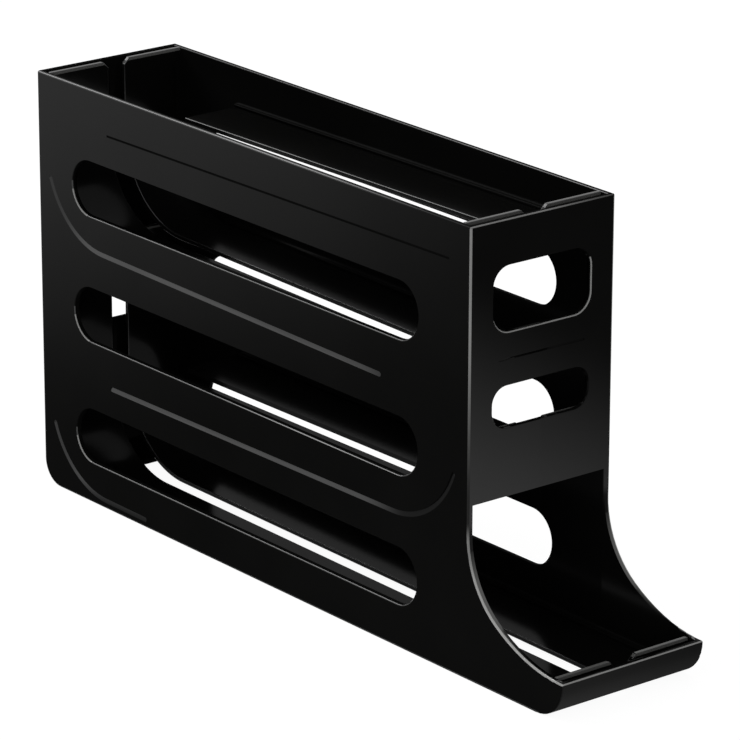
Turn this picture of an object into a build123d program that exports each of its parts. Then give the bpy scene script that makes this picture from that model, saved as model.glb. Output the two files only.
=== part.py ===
from build123d import *
from math import tan, radians
import os

os.makedirs("parts", exist_ok=True)

# Rolling dispenser: two half shells that meet on the centre plane, and eight
# runners in channels on their walls. The runners form four sloping tiers.
# +X is the front, where the tray is, and z is zero under the casing.
# Left is the -Y side, as seen from in front of the tray.

# Casing
total_length = 378.0
casing_width = 80.0
tray_length = 62.5
wall = 2.5
lip_height = 18.0
back_corner_radius = 12.0
lip_corner_radius = 17.0
lip_inner_radius = 11.5
curl_trim = 8.5
outer_edge_radius = 0.8
rim_chamfer = 0.5
opening_chamfer = 0.5
overrun = 5.0

half_width = casing_width / 2
back_x = -total_length / 2
nose_x = total_length / 2
panel_x = nose_x - tray_length
inner_back_x = back_x + wall
inner_panel_x = panel_x - wall
inner_nose_x = nose_x - wall
inner_y = half_width - wall

# Runners: strips with an upturned plate at one end or at both
runner_thickness = 2.2
centre_gap = 9.0
bend_radius = 44.0
toe_radius = 7.0
notch_chamfer = 3.0
runner_edge_chamfer = 0.5
back_plate_gap = 2.9
front_plate_gap = 3.6
toe_gap = 4.4
back_drop = 52.5
front_drop = 57.0
plate_land = 1.0
low_plate_height = 114.0

# Channels that hold the runners' outer edges
channel_rib = 1.6
channel_depth = 4.0
channel_clearance = 0.2
channel_stop = 6.0
floor_rib = 1.0

back_plate_x = inner_back_x + back_plate_gap + runner_thickness / 2
front_plate_x = inner_panel_x - front_plate_gap - runner_thickness / 2
toe_x = inner_nose_x - toe_gap - runner_thickness / 2
back_low_x = inner_back_x + back_drop
front_low_x = inner_panel_x - front_drop
toe_z = floor_rib + channel_clearance + runner_thickness / 2

# Each tier falls the other way from the one above it, by these angles in degrees
tier_1_fall = 0.6
tier_2_fall = 0.8
tier_3_fall = 0.4
tier_4_fall = 0.3

# Rise from each tier's high end to the high end of the tier above, up to the rim
tier_3_rise = 58.8
tier_2_rise = 63.0
tier_1_rise = 60.4
rim_rise = 16.8

tier_4_high = toe_z + (toe_x - back_plate_x) * tan(radians(tier_4_fall))
tier_3_high = tier_4_high + tier_3_rise
tier_2_high = tier_3_high + tier_2_rise
tier_1_high = tier_2_high + tier_1_rise
casing_height = tier_1_high + rim_rise

# The mouth is under the front panel, and the scoop starts below its corner
mouth_rise = 16.2
scoop_drop = 13.0
scoop_radius = 42.0
scoop_turn = 56.4
mouth_top = tier_3_high + mouth_rise
scoop_top = mouth_top - scoop_drop

# Side slots, one between each two tiers
slot_height = 26.6
slot_back_inset = 27.0
slot_front_inset = 34.5
slot_rise = 0.8

# Windows in the front panel and in the back wall
window_width = 54.0
top_window_height = 29.5
top_window_drop = 3.7
top_window_radius = 9.0
low_window_height = 19.0
low_window_rise = 3.2
low_window_radius = 8.0
back_window_height = 30.0
back_window_drop = 4.5

top_window_z = tier_1_high - top_window_drop - top_window_height / 2
low_window_z = tier_2_high + low_window_rise - low_window_height / 2
top_window_base = top_window_z - top_window_height / 2
low_window_top = low_window_z + low_window_height / 2
low_window_base = low_window_z - low_window_height / 2

# Fine line across the front panel, midway between its windows
panel_line_length = 48.0
panel_line_width = 1.0
panel_line_depth = 0.4
panel_line_z = (top_window_base + low_window_top) / 2

# Grooves outside the walls, which back the channels. They slope out to the surface.
groove_width = 2.3
groove_depth = 0.7
groove_bend_share = 0.78
fine_groove_width = 1.1
fine_groove_depth = 0.5
low_groove_length = 32.0

# Snap hooks on the left shell and their catches on the right shell
hook_thickness = 1.0
hook_width = 8.0
hook_root = 8.0
hook_reach = 7.0
hook_barb = 0.6
barb_length = 2.4
hook_clearance = 0.2
hook_side_clearance = 0.3
catch_bar = 1.0
catch_post = 1.5
catch_start = 1.5
lip_hook_width = 3.0
lip_hook_drop = 4.0


def floor_z(tier, x):
    return tier["high_z"] - abs(x - tier["high_x"]) * tan(radians(tier["fall"]))


tiers = {
    "tier_1": {
        "high_x": front_plate_x,
        "high_z": tier_1_high,
        "low_x": back_low_x,
        "fall": tier_1_fall,
        "plate_top": casing_height,
        "channel_top": casing_height - channel_stop,
        "bend": toe_radius,
    },
    "tier_2": {
        "high_x": back_plate_x,
        "high_z": tier_2_high,
        "low_x": front_low_x,
        "fall": tier_2_fall,
        "plate_top": casing_height,
        "channel_top": casing_height - channel_stop,
        "bend": bend_radius,
    },
    "tier_3": {
        "high_x": front_plate_x,
        "high_z": tier_3_high,
        "low_x": back_low_x,
        "fall": tier_3_fall,
        "plate_top": tier_3_high + bend_radius + plate_land,
        "channel_top": tier_3_high + bend_radius + plate_land,
        "bend": bend_radius,
    },
    "tier_4": {
        "high_x": back_plate_x,
        "high_z": tier_4_high,
        "low_x": toe_x,
        "fall": tier_4_fall,
        "plate_top": tier_4_high + low_plate_height,
        "channel_top": tier_4_high + low_plate_height,
        "bend": bend_radius,
    },
}


# Centre line of a tier in the side view, from its low end to the top of its plate
def tier_line(tier, plate_top, toe_top):
    points = [
        (tier["low_x"], floor_z(tier, tier["low_x"])),
        (tier["high_x"], tier["high_z"]),
        (tier["high_x"], plate_top),
    ]
    bends = [tier["bend"]]
    if tier["low_x"] == toe_x:
        points = [(toe_x, toe_top)] + points
        bends = [toe_radius] + bends
    with BuildLine() as line:
        FilletPolyline(*points, radius=bends)
    return line.line


# Height of a slot's centre, between the floors of the tier under it and above it
def slot_z(low, high):
    return (floor_z(low, 0) + floor_z(high, 0)) / 2 + slot_rise


slot_heights = [
    slot_z(tiers["tier_2"], tiers["tier_1"]),
    slot_z(tiers["tier_3"], tiers["tier_2"]),
    slot_z(tiers["tier_4"], tiers["tier_3"]),
]
slot_start_x = back_x + slot_back_inset
slot_end_x = panel_x - slot_front_inset
back_window_z = slot_heights[1] - back_window_drop
back_window_top = back_window_z + back_window_height / 2
back_window_base = back_window_z - back_window_height / 2


# Side view of the casing: straight back and top, and a scoop swept down to the lip
def casing_outline():
    with BuildLine() as outline:
        Polyline(
            (nose_x, lip_height),
            (nose_x, 0),
            (back_x, 0),
            (back_x, casing_height),
            (panel_x, casing_height),
            (panel_x, scoop_top),
        )
        upper_arc = JernArc((panel_x, scoop_top), (0, -1), scoop_radius, scoop_turn)
        TangentArc(upper_arc @ 1, (nose_x, lip_height), tangent=upper_arc % 1)
    return outline.line


# The grooves follow the floors, and rise a share of the way round the bends
def groove_line(name):
    tier = tiers[name]
    edges = tier_line(tier, tier["plate_top"], lip_height).edges()
    floor = edges.filter_by(GeomType.LINE).sort_by(Edge.length)[-1]
    bend = edges.filter_by(GeomType.CIRCLE).sort_by(Edge.length)[-1]
    if tier["low_x"] == toe_x:
        floor = floor.trim(1 - low_groove_length / floor.length, 1)
    return [floor, bend.trim(0, groove_bend_share)]


# What a groove takes out: a wedge swept along its line, deep at the upper edge
def groove_cutter(floor, bend):
    cap = groove_width / 2
    side = Plane.XZ.offset(half_width)
    path = side * Wire([floor, bend])
    start = path @ 0
    up = Vector(0, 0, cap)
    out = Vector(0, -overrun, 0)
    corners = [start + up + Vector(0, groove_depth, 0), start - up, start - up + out, start + up + out]
    floor = floor.trim(cap / floor.length, 1)
    bend = bend.trim(0, 1 - cap / bend.length)
    with BuildPart() as cutter:
        sweep(Face(Wire.make_polygon(corners)), path=path)
        with BuildSketch(side):
            trace(floor, groove_width)
            trace(bend, groove_width)
            with Locations(floor @ 0, bend @ 1):
                Circle(cap)
        extrude(amount=overrun, both=True, mode=Mode.INTERSECT)
    return cutter.part


# The edge across the casing that lies nearest to a place in the side view
def cross_edge(part, x, z):
    middle = (x, -half_width / 2, z)
    return part.edges().filter_by(Axis.Y).sort_by_distance(middle)[0]


# One half of the casing, at -Y, without what joins it to the other half
with BuildPart() as half_shell:
    with BuildSketch(Plane.XZ) as side_view:
        make_face(casing_outline().edges())
        back_corner = side_view.vertices().group_by(Axis.Y)[0].sort_by(Axis.X)[0]
        fillet(back_corner, back_corner_radius)
        lip_corner = side_view.vertices().group_by(Axis.Y)[0].sort_by(Axis.X)[-1]
        fillet(lip_corner, lip_corner_radius)
    extrude(amount=half_width)

    # Inside, open at the top, at the scoop, under the front panel and along the floor
    with BuildSketch(Plane.XZ) as inside_view:
        with BuildLine():
            FilletPolyline(
                (inner_nose_x, casing_height + overrun),
                (inner_nose_x, wall),
                (inner_back_x, wall),
                (inner_back_x, casing_height + overrun),
                radius=[lip_inner_radius, back_corner_radius - wall],
            )
            Line(
                (inner_back_x, casing_height + overrun),
                (inner_nose_x, casing_height + overrun),
            )
        make_face()
        with BuildLine():
            Polyline(
                (inner_panel_x, mouth_top),
                (inner_panel_x, casing_height + overrun),
                (nose_x, casing_height + overrun),
                (nose_x, mouth_top),
                close=True,
            )
        make_face(mode=Mode.SUBTRACT)
        with BuildLine():
            Polyline(
                (back_x + back_corner_radius, -overrun),
                (nose_x - lip_corner_radius + curl_trim, -overrun),
                (nose_x - lip_corner_radius + curl_trim, wall + overrun),
                (back_x + back_corner_radius, wall + overrun),
                close=True,
            )
        make_face()
    extrude(amount=inner_y, mode=Mode.SUBTRACT)

    # Bevelled top edges of the back, the front panel and the lip, and soft outer edges
    top_edges = [
        cross_edge(half_shell, back_x, casing_height),
        cross_edge(half_shell, panel_x, casing_height),
        cross_edge(half_shell, nose_x, lip_height),
    ]
    chamfer(top_edges, rim_chamfer)
    outer_face = half_shell.faces().sort_by(Axis.Y)[0]
    fillet(outer_face.edges(), outer_edge_radius)
    rim_face = half_shell.faces().filter_by(Axis.Z).sort_by(Axis.Z)[-1]
    inner_rim = rim_face.edges().filter_by(
        lambda edge: -inner_y - rim_chamfer < edge.center().Y < 0
        and inner_back_x - rim_chamfer < edge.center().X < inner_panel_x + rim_chamfer
    )
    chamfer(inner_rim, rim_chamfer)

    # Side slots
    with BuildSketch(Plane.XZ.offset(half_width)):
        with Locations([((slot_start_x + slot_end_x) / 2, z) for z in slot_heights]):
            SlotOverall(slot_end_x - slot_start_x, slot_height)
    extrude(amount=-wall, mode=Mode.SUBTRACT)

    # Windows in the front panel and in the back wall
    with BuildSketch(Plane.YZ.offset(panel_x)):
        with Locations((0, top_window_z)):
            RectangleRounded(window_width, top_window_height, top_window_radius)
        with Locations((0, low_window_z)):
            RectangleRounded(window_width, low_window_height, low_window_radius)
    extrude(amount=-wall, mode=Mode.SUBTRACT)
    with BuildSketch(Plane.YZ.offset(back_x)):
        with Locations((0, back_window_z)):
            RectangleRounded(window_width, back_window_height, low_window_radius)
    extrude(amount=wall, mode=Mode.SUBTRACT)

    # Bevelled rims of the slots
    outer_face = half_shell.faces().sort_by(Axis.Y)[0]
    chamfer(outer_face.inner_wires().edges(), opening_chamfer)

    # Bevelled rims of the front panel's windows
    panel_face = half_shell.faces().filter_by(Axis.X).sort_by(
        lambda face: abs(face.center().X - panel_x)
    )[0]
    window_edges = panel_face.edges().filter_by(
        lambda edge: low_window_base - rim_chamfer < edge.center().Z
        and edge.center().Z < casing_height - rim_rise
        and -half_width + wall < edge.center().Y < -rim_chamfer
    )
    chamfer(window_edges, opening_chamfer)

    with BuildSketch(Plane.YZ.offset(panel_x)):
        with Locations((0, panel_line_z)):
            SlotOverall(panel_line_length, panel_line_width)
    extrude(amount=-panel_line_depth, mode=Mode.SUBTRACT)

    # Channels for the runners' outer edges, and the flange under the lowest one
    rib_width = runner_thickness + (channel_clearance + channel_rib) * 2
    slit_width = runner_thickness + channel_clearance * 2
    with BuildSketch(Plane.XZ.offset(inner_y)):
        with BuildLine():
            Polyline(
                (back_plate_x + bend_radius, 0),
                (toe_x - toe_radius, 0),
                (toe_x - toe_radius, toe_z),
                (back_plate_x + bend_radius, tier_4_high),
                close=True,
            )
        make_face()
        for tier in tiers.values():
            channel_line = tier_line(tier, tier["channel_top"], lip_height - channel_stop)
            trace(channel_line, rib_width)
            trace(channel_line, slit_width, mode=Mode.SUBTRACT)
        add(side_view.sketch_local, mode=Mode.INTERSECT)
    extrude(amount=-channel_depth)

    # Grooves outside the wall: a fine one at the top tier, and one for each tier below
    with BuildSketch(Plane.XZ.offset(half_width)):
        trace(groove_line("tier_1")[0], fine_groove_width)
    extrude(amount=-fine_groove_depth, mode=Mode.SUBTRACT)
    for name in ["tier_2", "tier_3", "tier_4"]:
        add(groove_cutter(*groove_line(name)), mode=Mode.SUBTRACT)


# A hook from above: depth from the wall's inner face, then distance past the seam
def hook_outline(root_y, tip_y):
    back = hook_clearance + hook_thickness
    barb_y = tip_y - barb_length
    with BuildLine() as outline:
        Polyline(
            (0, root_y),
            (back, root_y),
            (back, barb_y),
            (back + hook_barb, barb_y),
            (back, tip_y),
            (hook_clearance, tip_y),
            (hook_clearance, 0),
            (0, 0),
            close=True,
        )
    return outline.line


# Where the hooks sit: the inner face's x, the way into the casing, the height and the width
hook_places = [
    (inner_panel_x, -1, (casing_height + top_window_z + top_window_height / 2) / 2, hook_width),
    (inner_panel_x, -1, panel_line_z, hook_width),
    (inner_panel_x, -1, (low_window_base + mouth_top) / 2, hook_width),
    (inner_back_x, 1, (casing_height + back_window_top) / 2, hook_width),
    (inner_back_x, 1, back_window_base / 2, hook_width),
    (inner_nose_x, -1, lip_height - lip_hook_drop, lip_hook_width),
]

with BuildPart() as left_shell:
    add(half_shell.part)
    for x, inward, z, width in hook_places:
        with BuildSketch(Plane(origin=(x, 0, z), x_dir=(inward, 0, 0), z_dir=(0, 0, inward))):
            make_face(hook_outline(-hook_root, hook_reach).edges())
        extrude(amount=width / 2, both=True)

with BuildPart() as right_shell:
    mirror(half_shell.part, about=Plane.XZ)
    catch_end = hook_reach - barb_length - hook_clearance
    tunnel_depth = hook_clearance * 2 + hook_thickness
    for x, inward, z, width in hook_places:
        tunnel_width = width + hook_side_clearance * 2
        with BuildSketch(
            Plane(origin=(x, catch_start, z), x_dir=(inward, 0, 0), z_dir=(0, 1, 0))
        ):
            Rectangle(
                tunnel_depth + catch_bar,
                tunnel_width + catch_post * 2,
                align=(Align.MIN, Align.CENTER),
            )
            Rectangle(
                tunnel_depth,
                tunnel_width,
                align=(Align.MIN, Align.CENTER),
                mode=Mode.SUBTRACT,
            )
        extrude(amount=catch_end - catch_start)

left_shell.part.label = "left_shell"
right_shell.part.label = "right_shell"
export_step(left_shell.part, "parts/left_shell.step")
export_step(right_shell.part, "parts/right_shell.step")


# One tier's strip on one side of the casing: side is -1 for left and 1 for right
def make_runner(tier, side):
    with BuildPart() as runner:
        with BuildSketch(Plane.XZ.offset(-side * centre_gap / 2)):
            trace(tier_line(tier, tier["plate_top"], lip_height), runner_thickness)
        extrude(amount=-side * (inner_y - centre_gap / 2))
        notch_corners = runner.edges().filter_by(Axis.X).filter_by(
            lambda edge: abs(edge.center().Y) < inner_y / 2
        )
        chamfer(notch_corners, notch_chamfer)
        inner_face = runner.faces().filter_by(Axis.Y).sort_by(lambda face: abs(face.center().Y))[0]
        chamfer(inner_face.edges(), runner_edge_chamfer)
    return runner.part


for name, tier in tiers.items():
    for side_name, side in [("left", -1), ("right", 1)]:
        runner = make_runner(tier, side)
        runner.label = name + "_" + side_name + "_runner"
        export_step(runner, "parts/" + runner.label + ".step")
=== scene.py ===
from math import cos, radians, sin, tan

import bmesh
import bpy
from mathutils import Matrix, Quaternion, Vector


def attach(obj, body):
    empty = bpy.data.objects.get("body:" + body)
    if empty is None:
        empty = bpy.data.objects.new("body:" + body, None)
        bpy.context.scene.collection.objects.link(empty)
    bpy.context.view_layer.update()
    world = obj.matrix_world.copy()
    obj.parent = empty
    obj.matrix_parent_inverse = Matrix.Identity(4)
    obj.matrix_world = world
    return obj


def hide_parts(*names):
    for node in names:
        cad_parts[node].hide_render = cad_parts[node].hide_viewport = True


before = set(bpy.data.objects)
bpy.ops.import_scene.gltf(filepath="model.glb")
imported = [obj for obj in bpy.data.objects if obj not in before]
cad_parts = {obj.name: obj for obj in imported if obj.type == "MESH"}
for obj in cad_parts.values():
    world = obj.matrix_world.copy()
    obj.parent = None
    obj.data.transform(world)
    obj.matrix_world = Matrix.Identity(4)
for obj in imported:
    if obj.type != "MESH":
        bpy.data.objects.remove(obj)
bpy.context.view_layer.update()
print("frame loaded:", len(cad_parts), "moulded pieces")


class Link:
    # a socket that can be used in sums
    def __init__(self, graph, socket):
        self.graph = graph
        self.socket = socket

    def __add__(self, other):
        return self.graph.sum("ADD", self, other)

    def __radd__(self, other):
        return self.graph.sum("ADD", other, self)

    def __sub__(self, other):
        return self.graph.sum("SUBTRACT", self, other)

    def __rsub__(self, other):
        return self.graph.sum("SUBTRACT", other, self)

    def __mul__(self, other):
        return self.graph.sum("MULTIPLY", self, other)

    def __rmul__(self, other):
        return self.graph.sum("MULTIPLY", other, self)


class Graph:
    # a node tree, for a material, the world or a Geometry Nodes modifier
    def __init__(self, tree):
        self.tree = tree

    def node(self, kind, settings=None, sockets=None, output=0):
        made = self.tree.nodes.new(kind)
        for name, value in (settings or {}).items():
            setattr(made, name, value)
        for key, value in (sockets or {}).items():
            if isinstance(value, Link):
                self.tree.links.new(value.socket, made.inputs[key])
            else:
                made.inputs[key].default_value = value
        return Link(self, made.outputs[output]) if made.outputs else made

    def sum(self, operation, first, second=0.0):
        return self.node("ShaderNodeMath", {"operation": operation}, {0: first, 1: second})

    def between(self, span, value):
        # 0 below the span, 1 above it and smooth in between
        return self.node("ShaderNodeMapRange", {"interpolation_type": "SMOOTHSTEP"},
                         {"Value": value, "From Min": span[0], "From Max": span[1]})

    def colours(self, share, first, second):
        return self.node("ShaderNodeMix", {"data_type": "RGBA"},
                         {0: share, 6: first, 7: second}, output=2)


def newMaterial(name):
    material = bpy.data.materials.new(name)
    material.use_nodes = True
    material.node_tree.nodes.clear()
    return material, Graph(material.node_tree)


# Black moulded plastic; each noise is given as its scale and detail
shellFinish = {
    "dark": (0.0028, 0.0028, 0.0027, 1),
    "pale": (0.0046, 0.0046, 0.0044, 1),
    "roughness": 0.32,
    "reflection": 0.0,
    "faceCoat": 0.02,
    "coatRoughness": 0.14,
    "cloud": (22, 3),
    "cloudCoat": 0.3,
    "cloudRoughness": 0.10,
    "peel": (420, 2),
    "grain": (2600, 2),
    "grainShare": 0.3,
    "bumpStrength": 0.12,
    "bumpHeight": 0.00012,
    "speck": (300, 1),
    "speckSpan": (0.74, 0.78),
    "speckRoughness": 0.2,
}
# the small edge faces: a paler colour and strong coat, a painted highlight
edgeHighlightFinish = dict(shellFinish, dark=(0.012, 0.012, 0.012, 1), pale=(0.02, 0.02, 0.02, 1),
                  roughness=0.22, faceCoat=0.85)
# paler colour and strong coat on the front corner, rims and slot ends: a painted highlight
paintedHighlightFinish = dict(shellFinish, dark=(0.17, 0.17, 0.166, 1), pale=(0.28, 0.28, 0.273, 1),
                  roughness=0.3, faceCoat=0.85)
# the scoop's outer rim: a brighter painted highlight
scoopRimHighlightFinish = dict(paintedHighlightFinish, dark=(0.27, 0.27, 0.264, 1), pale=(0.44, 0.44, 0.43, 1))
runnerFinish = dict(shellFinish, faceCoat=0.14, roughness=0.34)
# the top band of each plate: a paler colour, a painted highlight
plateTopHighlightFinish = dict(shellFinish, dark=(0.09, 0.09, 0.087, 1), pale=(0.12, 0.12, 0.116, 1),
                      faceCoat=0.5)


def plasticBase(g, look, paintedSheen, share):
    # satin black with a fine orange-peel skin, grain and a few dull specks
    place = g.node("ShaderNodeTexCoord", output=3)

    def noise(name):
        scale, detail = look[name]
        return g.node("ShaderNodeTexNoise", {}, {"Vector": place, "Scale": scale, "Detail": detail})

    cloud, peel, grain = noise("cloud"), noise("peel"), noise("grain")
    patches = cloud - 0.5  # the noise lies about its middle
    speck = g.between(look["speckSpan"], noise("speck"))
    bump = g.node("ShaderNodeBump", {}, {
        "Height": peel * (1 - look["grainShare"]) + grain * look["grainShare"],
        "Strength": look["bumpStrength"],
        "Distance": look["bumpHeight"],
    })
    coat = look["faceCoat"] + patches * look["faceCoat"] * look["cloudCoat"]
    colour = g.colours(cloud, look["dark"], look["pale"])
    # coat added by place: a painted reflection
    if paintedSheen is not None:
        coat = coat + paintedSheen
    if share is not None:
        coat = coat * share
        colour = g.colours(share, shellFinish["dark"], colour)
    return g.node("ShaderNodeBsdfPrincipled", {}, {
        "Base Color": colour,
        "Roughness": look["roughness"] + patches * look["cloudRoughness"] + speck * look["speckRoughness"],
        "Specular IOR Level": look["reflection"],
        "Coat Weight": coat,
        "Coat Roughness": look["coatRoughness"],
        "Normal": bump,
    })


def makePlastic(name, look, paintedSheen=None, share=None):
    # paintedSheen(g) is coat to add by place, a painted reflection, and share(g) fades the look to the plain
    # wall's where it falls to 0
    material, g = newMaterial(name)
    surface = plasticBase(g, look, paintedSheen(g) if paintedSheen else None, share(g) if share else None)
    g.node("ShaderNodeOutputMaterial", {}, {"Surface": surface})
    return material


def objectPlace(g):
    place = g.node("ShaderNodeSeparateXYZ", {}, {0: g.node("ShaderNodeTexCoord", output=3)})
    return [Link(g, socket) for socket in place.socket.node.outputs]


# Painted reflection on the outer walls, laid on as extra coat: higher up at the back on the sides, and low
# down on the front
wallPaintedSheen = {
    "outsideY": (0.0396, 0.0399),
    "frontX": (0.1248, 0.1262),
    "panelZ": (0.066, 0.072),
    "sideCoat": 0.29,
    "sideRise": 4.92,
    "sideSlope": 1.63,
    "sideStartX": -0.18,
    "sideSpan": (0.08, 1.12),
    "sideEndX": (0.0, 0.13),
    "sideEndLoss": 0.45,
    "frontCoat": 0.68,
    "frontRise": 9.6,
    "frontSlope": 5.5,
    "frontStartY": -0.036,
    "frontStartZ": 0.083,
    "frontSpan": (-0.35, 1.0),
    "lipCoat": 0.16,
    "lipZ": (0.001, 0.012),
    "lipY": (-0.04, 0.06),
    "lipLoss": 0.6,
}


def shellPaintedSheen(g):
    x, y, z = objectPlace(g)
    look = wallPaintedSheen
    outside = g.between(look["outsideY"], g.sum("ABSOLUTE", y))
    height = z * look["sideRise"] - (x - look["sideStartX"]) * look["sideSlope"]
    side = g.between(look["sideSpan"], height) * outside
    side = side * (1 - g.between(look["sideEndX"], x) * look["sideEndLoss"])
    front = g.between(look["frontX"], x) * (1 - outside)
    climb = (z - look["frontStartZ"]) * look["frontRise"] + (y - look["frontStartY"]) * look["frontSlope"]
    lower = 1 - g.between(look["frontSpan"], climb)
    onPanel = g.between(look["panelZ"], z)
    onLip = (1 - onPanel) * g.between(look["lipZ"], z) * (1 - g.between(look["lipY"], y) * look["lipLoss"])
    paintedSheen = side * look["sideCoat"] + front * lower * onPanel * look["frontCoat"]
    return paintedSheen + front * onLip * look["lipCoat"]


# The outer rims' painted highlight dulls towards the front
rimHighlightFade = {"outsideY": (0.0385, 0.039), "rimX": (0.0, 0.11), "rimZ": (0.2015, 0.202), "loss": 0.9}


def rimHighlightShare(g):
    x, y, z = objectPlace(g)
    outside = g.between(rimHighlightFade["outsideY"], g.sum("ABSOLUTE", y))
    return 1 - g.between(rimHighlightFade["rimX"], x) * g.between(rimHighlightFade["rimZ"], z) * outside * rimHighlightFade["loss"]


# Of the edges with the painted highlight, the front corner dulls downwards, and the front rim to the right
paintedHighlightFade = {
    "cornerX": (0.1, 0.12),
    "cornerZ": (0.08, 0.165),
    "scoopZ": (0.061, 0.072),
    "cornerLoss": 0.92,
    "rimY": (-0.005, 0.045),
    "rimZ": (0.2022, 0.2026),
    "rimLoss": 0.2,
    "rimEndLoss": 0.6,
}


def paintedHighlightShare(g):
    x, y, z = objectPlace(g)
    fade = paintedHighlightFade
    corner = (1 - g.between(fade["cornerZ"], z)) * g.between(fade["scoopZ"], z)
    corner = corner * g.between(fade["cornerX"], x) * fade["cornerLoss"]
    rim = g.between(fade["rimY"], y) * fade["rimEndLoss"] + fade["rimLoss"]
    return (1 - corner) * (1 - rim * g.between(fade["rimZ"], z))


# The wide grooves' painted highlight fades round their bends and near the floor, where they catch less light
grooveHighlightFade = {
    "backX": (-0.176, -0.146),
    "backShare": 0.45,
    "frontX": (0.05, 0.085),
    "frontLoss": 0.85,
    "lowZ": (0.0015, 0.012),
    "lowShare": 0.15,
}


def grooveHighlightShare(g):
    x, _, z = objectPlace(g)
    fade = grooveHighlightFade
    share = g.between(fade["backX"], x) * (1 - fade["backShare"]) + fade["backShare"]
    share = share - g.between(fade["frontX"], x) * fade["frontLoss"]
    return share * (g.between(fade["lowZ"], z) * (1 - fade["lowShare"]) + fade["lowShare"])


# The scoop's outer rim has a painted highlight, brighter where it turns forwards, and the cut face inside it
# has a painted highlight halfway down
scoopHighlightFade = {"rimX": (0.1265, 0.131), "rimHighlightShare": 0.6, "faceStartZ": (0.02, 0.034), "faceEndZ": (0.042, 0.066)}


def scoopRimHighlightShare(g):
    x = objectPlace(g)[0]
    return g.between(scoopHighlightFade["rimX"], x) * (1 - scoopHighlightFade["rimHighlightShare"]) + scoopHighlightFade["rimHighlightShare"]


def scoopHighlightShare(g):
    z = objectPlace(g)[2]
    return g.between(scoopHighlightFade["faceStartZ"], z) * (1 - g.between(scoopHighlightFade["faceEndZ"], z))


plastics = {
    "wall": makePlastic("shellPlastic", shellFinish, paintedSheen=shellPaintedSheen),
    "edge": makePlastic("edgeHighlightPlastic", edgeHighlightFinish, share=rimHighlightShare),
    "paintedHighlight": makePlastic("paintedHighlightPlastic", paintedHighlightFinish, share=paintedHighlightShare),
    "groove": makePlastic("grooveHighlightPlastic", edgeHighlightFinish, share=grooveHighlightShare),
    "scoop": makePlastic("scoopHighlightPlastic", plateTopHighlightFinish, share=scoopHighlightShare),
    "scoopRim": makePlastic("scoopRimHighlightPlastic", scoopRimHighlightFinish, share=scoopRimHighlightShare),
    "runner": makePlastic("runnerPlastic", runnerFinish),
    "plateTop": makePlastic("plateTopHighlightPlastic", plateTopHighlightFinish),
}
print("plastics made")


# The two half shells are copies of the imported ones, with flat faces joined and soft edges
shellCopy = {
    "mergeDistance": 0.00002,
    "flatAngle": radians(0.4),
    "sharpAngle": radians(62),
    "plastics": ["wall", "edge", "paintedHighlight", "groove", "scoop", "scoopRim"],
}

# Where the shells' edges lie, and how far a face's normal leans there, as the parts of it along the axes
edgeRules = {
    "straight": 0.9995,
    "largestEdge": 0.0008,
    "reach": 0.0011,
    "sideY": 0.040,
    "frontX": 0.1265,
    "noseX": 0.189,
    "lowZ": 0.014,
    "lipZ": 0.018,
    "scoopZ": 0.060,
    "scoopEndZ": 0.080,
    "scoopInsideY": 0.0374,
    "windowZ": 0.145,
    "windowY": 0.028,
    "rimZ": 0.2025,
    "slotEndX": -0.14,
    "grooveX": (-0.1875, 0.1255),
    "grooveZ": (0.0015, 0.2025),
    "grooveLean": (0.93, 0.985),
    "leastLean": 0.02,
    "slightLean": 0.05,
    "slotTopLean": 0.1,
    "slotEndLean": 0.15,
    "clearLean": 0.2,
    "strongLean": 0.3,
}


def within(value, span):
    return span[0] < value < span[1]


def sideKind(c, n, onPanel):
    # the plastic of a small face on the outer edges of a long side; faces turned down get none of the painted
    # highlight
    rules = edgeRules
    if within(c.x, rules["grooveX"]) and within(c.z, rules["grooveZ"]):
        if within(abs(n.y), rules["grooveLean"]):
            return "groove"
        if n.z < -rules["slotTopLean"]:
            return "wall"
        atSlotEnd = min(n.x, n.z) > rules["slotEndLean"] and c.x < rules["slotEndX"]
        return "paintedHighlight" if atSlotEnd else "edge"
    pastFront = c.x > rules["frontX"] + rules["reach"]
    if pastFront and n.z < rules["strongLean"] and c.z < rules["lipZ"]:
        return "wall"
    nearFront = c.x > rules["frontX"] - rules["reach"]
    if nearFront and c.z < rules["scoopEndZ"] and n.z > rules["slightLean"]:
        return "scoopRim"
    return "paintedHighlight" if onPanel else "edge"


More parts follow.
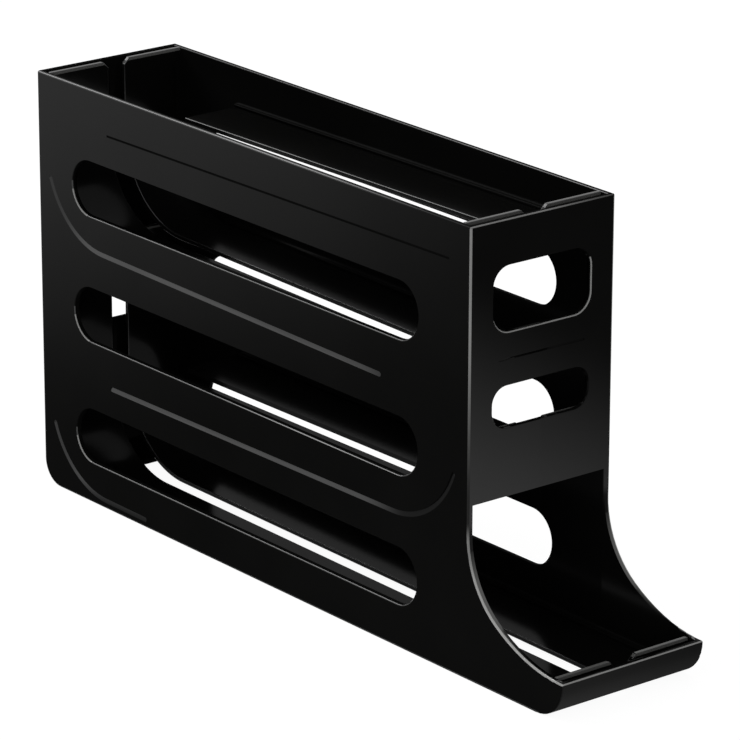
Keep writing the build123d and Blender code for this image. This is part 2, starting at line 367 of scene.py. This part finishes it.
def edgeKind(face):
    # which plastic a face gets, from where it lies and how it's turned; the painted highlights go on faces
    # turned towards the light
    rules = edgeRules
    n, c = face.normal, face.calc_center_median()
    if max(abs(n.x), abs(n.y), abs(n.z)) > rules["straight"] or face.calc_area() > rules["largestEdge"]:
        return "wall"
    reach, upwards = rules["reach"], n.z > rules["slightLean"]
    onSide = abs(c.y) > rules["sideY"] - reach
    onPanel = abs(c.x - rules["frontX"]) < reach and c.z > rules["scoopZ"] and n.x > rules["slightLean"]
    onLipTop = abs(c.x - rules["noseX"]) < reach and abs(c.z - rules["lipZ"]) < reach
    if not onSide and upwards and (onPanel and c.z > rules["rimZ"] or onLipTop):
        return "paintedHighlight"
    if not onSide and onPanel and c.z < rules["rimZ"]:
        # window edges turned up or towards the near side get the painted highlight
        lit = n.z > rules["clearLean"] or n.y < -rules["clearLean"] and n.z > -rules["strongLean"]
        return "paintedHighlight" if c.z > rules["windowZ"] and lit else "wall"
    across = abs(n.y) < rules["leastLean"]
    onScoop = c.x > rules["frontX"] and abs(c.y) > rules["scoopInsideY"]
    if across and onScoop and n.z > rules["leastLean"]:
        return "scoop"
    if across or c.z < rules["lowZ"] and n.z < -rules["clearLean"]:
        return "wall"
    if onSide:
        return sideKind(c, n, onPanel)
    inWindow = abs(c.y) < rules["windowY"] and abs(n.x) < rules["strongLean"]
    belowRim = abs(n.x) < rules["slightLean"] and c.z < rules["rimZ"]
    return "wall" if inWindow or belowRim else "edge"


def makeShell(name):
    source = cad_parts[name]
    shell = bpy.data.objects.new(name + "_finished", source.data.copy())
    bpy.context.scene.collection.objects.link(shell)
    shell.data.materials.clear()
    for kind in shellCopy["plastics"]:
        shell.data.materials.append(plastics[kind])
    mesh = bmesh.new()
    mesh.from_mesh(shell.data)
    bmesh.ops.remove_doubles(mesh, verts=mesh.verts, dist=shellCopy["mergeDistance"])
    bmesh.ops.dissolve_limit(mesh, angle_limit=shellCopy["flatAngle"], verts=mesh.verts, edges=mesh.edges)
    for face in mesh.faces:
        face.smooth = True
        face.material_index = shellCopy["plastics"].index(edgeKind(face))
    mesh.to_mesh(shell.data)
    mesh.free()
    shell.data.set_sharp_from_angle(angle=shellCopy["sharpAngle"])
    weighting = shell.modifiers.new("faceWeight", "WEIGHTED_NORMAL")
    weighting.keep_sharp = True
    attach(shell, "root")
    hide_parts(name)


for name in ["left_shell", "right_shell"]:
    makeShell(name)
print("shells finished")


# The runners: each follows a bent line in the side view, from its low end to its plate
runnerSizes = {
    "thickness": 0.0022,
    "innerY": 0.0045,
    "outerY": 0.0375,
    "notch": 0.003,
    "highlightBand": 0.0014,
    "bendSteps": 24,
    "edge": 0.0004,
    "edgeSegments": 3,
    "edgeAngle": radians(40),
    "plastics": ["runner", "edge", "plateTop"],
    "tiers": {
        "tier_1": {
            "lowX": -0.134, "highX": 0.1193, "highZ": 0.186403, "fall": 0.6,
            "plateTop": 0.203203, "bend": 0.007,
        },
        "tier_2": {
            "lowX": 0.067, "highX": -0.1825, "highZ": 0.126003, "fall": 0.8,
            "plateTop": 0.203203, "bend": 0.044,
        },
        "tier_3": {
            "lowX": -0.134, "highX": 0.1193, "highZ": 0.063003, "fall": 0.4,
            "plateTop": 0.108003, "bend": 0.044,
        },
        "tier_4": {
            "lowX": 0.181, "highX": -0.1825, "highZ": 0.004203, "fall": 0.3,
            "plateTop": 0.118203, "bend": 0.044, "toeTop": 0.018, "toeBend": 0.007,
        },
    },
}


def runnerTree():
    # sweeps a flat strip along the object's bent line, and cuts the corner at each plate's notch
    tree = bpy.data.node_groups.new("runnerStrip", "GeometryNodeTree")
    tree.interface.new_socket("Line", in_out="INPUT", socket_type="NodeSocketGeometry")
    for name in ["Width", "Thickness", "Middle", "Notch", "Side"]:
        tree.interface.new_socket(name, in_out="INPUT", socket_type="NodeSocketFloat")
    tree.interface.new_socket("Bend steps", in_out="INPUT", socket_type="NodeSocketInt")
    tree.interface.new_socket("Plastic", in_out="INPUT", socket_type="NodeSocketMaterial")
    tree.interface.new_socket("Strip", in_out="OUTPUT", socket_type="NodeSocketGeometry")
    g = Graph(tree)
    given = tree.nodes.new("NodeGroupInput")
    size = {socket.name: Link(g, socket) for socket in given.outputs if socket.name}
    bend, notch = [g.node("GeometryNodeInputNamedAttribute", {"data_type": "FLOAT"}, {"Name": name})
                   for name in ["bend", "notch"]]
    line = g.node("GeometryNodeMeshToCurve", {}, {"Mesh": size["Line"]})
    line = g.node("GeometryNodeFilletCurve", {"mode": "POLY"},
                  {"Curve": line, "Count": size["Bend steps"], "Radius": bend})
    line = g.node("GeometryNodeSetCurveNormal", {"mode": "FREE"}, {"Curve": line, "Normal": (0, 1, 0)})
    section = g.node("GeometryNodeCurvePrimitiveQuadrilateral", {"mode": "RECTANGLE"},
                     {"Width": size["Width"], "Height": size["Thickness"]})
    strip = g.node("GeometryNodeCurveToMesh", {},
                   {"Curve": line, "Profile Curve": section, "Fill Caps": True})
    across = g.node("ShaderNodeSeparateXYZ", {}, {0: g.node("GeometryNodeInputPosition")}, output=1)
    atGap = g.node("FunctionNodeCompare", {"operation": "LESS_THAN"},
                   {"A": across * size["Side"], "B": 0.0})
    shift = g.node("ShaderNodeCombineXYZ", {}, {"Y": notch * size["Notch"] * size["Side"]})
    strip = g.node("GeometryNodeSetPosition", {},
                   {"Geometry": strip, "Selection": atGap, "Offset": shift})
    middle = g.node("ShaderNodeCombineXYZ", {}, {"Y": size["Middle"] * size["Side"]})
    strip = g.node("GeometryNodeTransform", {}, {"Geometry": strip, "Translation": middle})
    strip = g.node("GeometryNodeRealizeInstances", {}, {"Geometry": strip})
    strip = g.node("GeometryNodeSetMaterial", {}, {"Geometry": strip, "Material": size["Plastic"]})
    g.node("NodeGroupOutput", {}, {"Strip": strip})
    return tree


def runnerLine(name, tier):
    # corner points with the radius of each, and points where each notch and each painted highlight band at the
    # top start
    notch, band = runnerSizes["notch"], runnerSizes["highlightBand"]
    lowZ = tier["highZ"] - abs(tier["lowX"] - tier["highX"]) * tan(radians(tier["fall"]))
    steps = [(notch, 0.0), (band, 1 - band / notch), (0.0, 1.0)]
    rows = [(tier["lowX"], lowZ, 0.0, 0.0)]
    if "toeTop" in tier:
        rows = [(tier["lowX"], tier["toeTop"] - below, 0.0, cut) for below, cut in reversed(steps)]
        rows.append((tier["lowX"], lowZ, tier["toeBend"], 0.0))
    rows.append((tier["highX"], tier["highZ"], tier["bend"], 0.0))
    rows += [(tier["highX"], tier["plateTop"] - below, 0.0, cut) for below, cut in steps]
    mesh = bpy.data.meshes.new(name)
    points = [(x, 0, z) for x, z, bend, cut in rows]
    mesh.from_pydata(points, [(i, i + 1) for i in range(len(rows) - 1)], [])
    for label, column in [("bend", 2), ("notch", 3)]:
        values = mesh.attributes.new(label, "FLOAT", "POINT")
        values.data.foreach_set("value", [row[column] for row in rows])
    return mesh


def sweptRunner(tree, label, tier, side):
    # the strip as a plain mesh, with nothing left of the line it was swept along
    holder = bpy.data.objects.new(label + "_line", runnerLine(label, tier))
    bpy.context.scene.collection.objects.link(holder)
    sweep = holder.modifiers.new("strip", "NODES")
    sweep.node_group = tree
    values = {
        "Width": runnerSizes["outerY"] - runnerSizes["innerY"],
        "Thickness": runnerSizes["thickness"],
        "Middle": (runnerSizes["outerY"] + runnerSizes["innerY"]) / 2,
        "Notch": runnerSizes["notch"],
        "Side": float(side),
        "Bend steps": runnerSizes["bendSteps"],
        "Plastic": plastics["runner"],
    }
    for item in tree.interface.items_tree:
        if item.in_out == "INPUT" and item.name in values:
            sweep[item.identifier] = values[item.name]
    evaluated = holder.evaluated_get(bpy.context.evaluated_depsgraph_get())
    swept = bpy.data.meshes.new_from_object(evaluated)
    bpy.data.objects.remove(holder)
    return swept


def makeRunner(tree, name, tier, sideName, side):
    label = name + "_" + sideName + "_runner"
    kinds = runnerSizes["plastics"]
    runner = bpy.data.objects.new(label + "_finished", sweptRunner(tree, label, tier, side))
    bpy.context.scene.collection.objects.link(runner)
    mesh = bmesh.new()
    mesh.from_mesh(runner.data)
    bmesh.ops.recalc_face_normals(mesh, faces=mesh.faces)
    tops = [Vector((tier["highX"], 0, tier["plateTop"]))]
    if "toeTop" in tier:
        tops.append(Vector((tier["lowX"], 0, tier["toeTop"])))
    for face in mesh.faces:
        face.smooth = True
        middle = face.calc_center_median() * Vector((1, 0, 1))
        # the top band gets the painted highlight
        if min((middle - top).length for top in tops) < runnerSizes["highlightBand"]:
            face.material_index = kinds.index("plateTop")
    mesh.to_mesh(runner.data)
    mesh.free()
    for kind in kinds[1:]:  # the tree has set the first
        runner.data.materials.append(plastics[kind])
    soft = runner.modifiers.new("softEdges", "BEVEL")
    soft.width = runnerSizes["edge"]
    soft.segments = runnerSizes["edgeSegments"]
    soft.limit_method = "ANGLE"
    soft.angle_limit = runnerSizes["edgeAngle"]
    soft.material = kinds.index("edge")
    weighting = runner.modifiers.new("faceWeight", "WEIGHTED_NORMAL")
    weighting.keep_sharp = True
    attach(runner, "root")
    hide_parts(label)


strips = runnerTree()
for name, tier in runnerSizes["tiers"].items():
    for sideName, side in [("left", -1), ("right", 1)]:
        makeRunner(strips, name, tier, sideName, side)
print("runners finished")


# Studio: a pale floor, one wide lamp behind on the left and a weak one beside the camera
studio = {
    "floorSize": 12.0,
    "floorColour": (0.92, 0.92, 0.92, 1),
    "floorWhite": 0.86,
    "floorGlow": 1.1,
    "skyColour": (1, 1, 1, 1),
    "skySeen": 1.0,
    "skyForSurfaces": 0.5,
    "lampReach": 2,
    "backLamp": {"from": (-0.74, -0.33, 0.62), "strength": 1.3, "angle": 32},
    "sideLamp": {"from": (0.55, -0.80, 0.55), "strength": 0.35, "angle": 60},
}


def seenDirectly(g):
    # 1 for what the camera sees, straight or in a reflection
    rays = g.tree.nodes.new("ShaderNodeLightPath").outputs
    camera, glossy, through = [Link(g, rays["Is " + kind + " Ray"])
                               for kind in ["Camera", "Glossy", "Transmission"]]
    return g.sum("MINIMUM", camera + glossy + through, 1.0)


def makeFloor():
    mesh = bpy.data.meshes.new("floor")
    half = studio["floorSize"] / 2
    corners = [(-half, -half, 0), (half, -half, 0), (half, half, 0), (-half, half, 0)]
    mesh.from_pydata(corners, [], [(0, 1, 2, 3)])
    floor = bpy.data.objects.new("floor", mesh)
    bpy.context.scene.collection.objects.link(floor)
    material, g = newMaterial("floorPaint")
    paint = g.node("ShaderNodeBsdfDiffuse", {}, {"Color": studio["floorColour"]})
    white = g.node("ShaderNodeEmission", {},
                   {"Color": studio["skyColour"], "Strength": studio["floorGlow"]})
    shown = g.node("ShaderNodeMixShader", {},
                   {0: seenDirectly(g) * studio["floorWhite"], 1: paint, 2: white})
    g.node("ShaderNodeOutputMaterial", {}, {"Surface": shown})
    mesh.materials.append(material)


def makeSky():
    world = bpy.data.worlds.new("studio")
    bpy.context.scene.world = world
    world.use_nodes = True
    world.node_tree.nodes.clear()
    g = Graph(world.node_tree)
    dim, white = [g.node("ShaderNodeBackground", {},
                         {"Color": studio["skyColour"], "Strength": studio[strength]})
                  for strength in ["skyForSurfaces", "skySeen"]]
    sky = g.node("ShaderNodeMixShader", {}, {0: seenDirectly(g), 1: dim, 2: white})
    g.node("ShaderNodeOutputWorld", {}, {"Surface": sky})


def makeLamp(name):
    lamp = bpy.data.lights.new(name, "SUN")
    lamp.energy = studio[name]["strength"]
    lamp.angle = radians(studio[name]["angle"])
    holder = bpy.data.objects.new(name, lamp)
    direction = Vector(studio[name]["from"])
    holder.rotation_euler = direction.to_track_quat("Z", "Y").to_euler()
    holder.location = direction * studio["lampReach"]
    bpy.context.scene.collection.objects.link(holder)


makeFloor()
makeSky()
for name in ["backLamp", "sideLamp"]:
    makeLamp(name)
print("studio lit")


# Camera, fitted to the straight edges and the slots; the angles are in degrees and the focus in pixels
view = {
    "place": (1.54407, -1.22913, 0.77410),
    "turn": 38.697,
    "tilt": 18.906,
    "roll": 0.17,
    "focus": 4656.7,
    "frameWidth": 740,
    "sensorWidth": 36,
    "farthest": 50,
}


def makeCamera():
    lens = bpy.data.cameras.new("camera")
    lens.sensor_width = view["sensorWidth"]
    lens.lens = view["focus"] / view["frameWidth"] * lens.sensor_width
    lens.clip_end = view["farthest"]
    camera = bpy.data.objects.new("camera", lens)
    turn, tilt = radians(view["turn"]), radians(view["tilt"])
    look = Vector((-cos(turn) * cos(tilt), sin(turn) * cos(tilt), -sin(tilt)))
    camera.location = view["place"]
    aim = look.to_track_quat("-Z", "Y") @ Quaternion((0, 0, 1), radians(view["roll"]))
    camera.rotation_euler = aim.to_euler()
    bpy.context.scene.collection.objects.link(camera)
    bpy.context.scene.camera = camera


makeCamera()
bpy.context.scene.view_settings.view_transform = "Standard"
print("camera placed")
